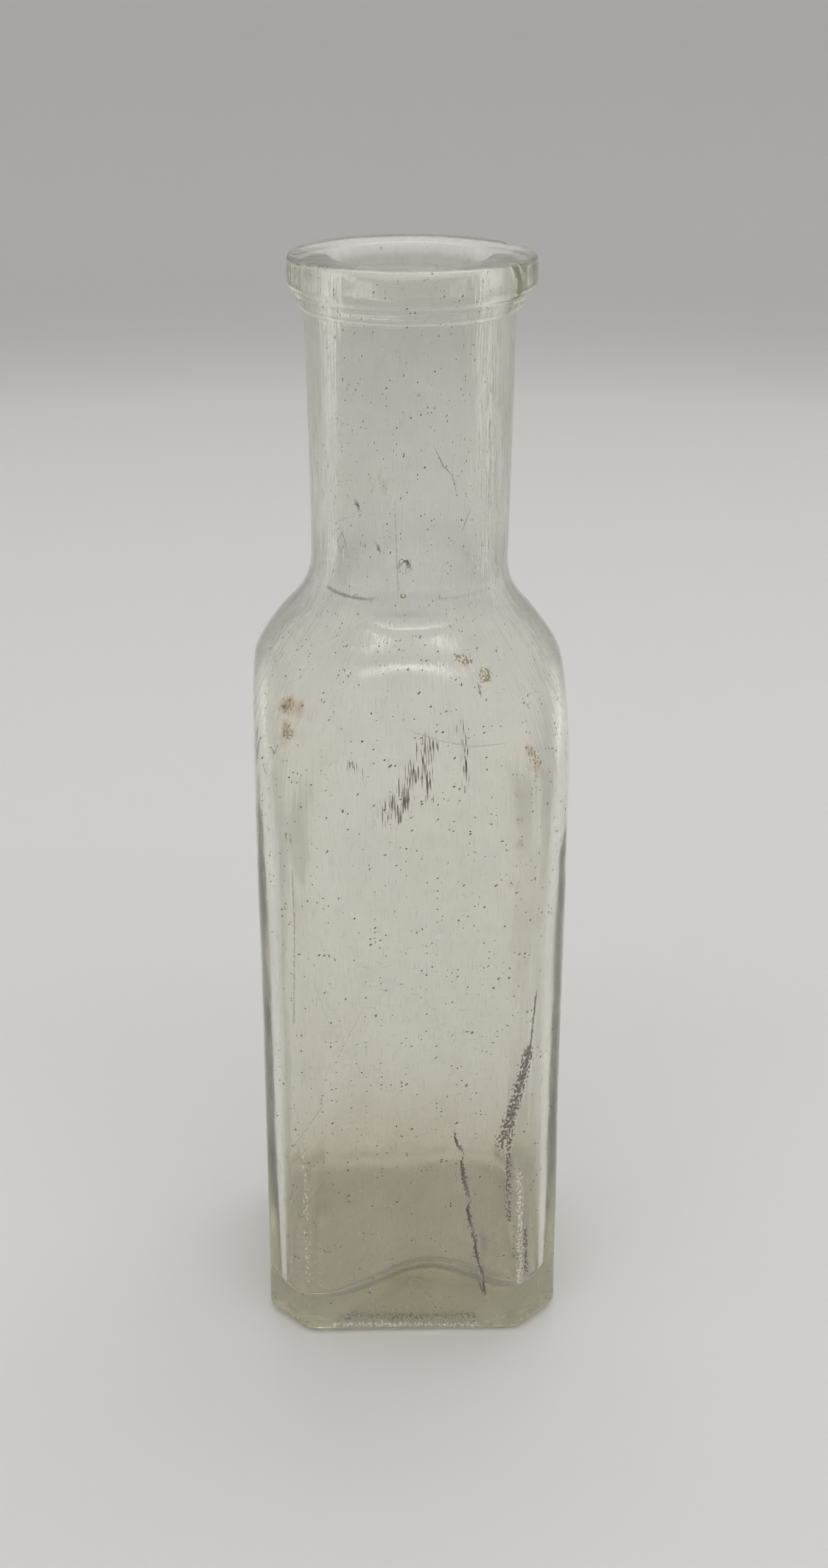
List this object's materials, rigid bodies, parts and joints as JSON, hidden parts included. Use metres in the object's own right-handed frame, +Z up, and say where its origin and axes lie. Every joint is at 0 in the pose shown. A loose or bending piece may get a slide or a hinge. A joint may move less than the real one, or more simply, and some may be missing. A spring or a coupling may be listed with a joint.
{
  "type": "glass bottle",
  "caption": "Small square glass bottle with cut corners, a domed shoulder, a straight neck and a thick ring of glass as its lip.",
  "frame": {"origin": "middle of the underside, on the surface the bottle stands on", "axes": "+Z up along the bottle's axis; -Y out of the front panel; X across the front panel"},
  "size_m": [0.038, 0.038, 0.1364],
  "materials": {
    "glass": "old clear glass with a faint grey-straw tint, light scratches, stains and haze"
  },
  "bodies": {
    "root": {"blown_body": "glass", "applied_lip": "glass"}
  },
  "joints": []
}
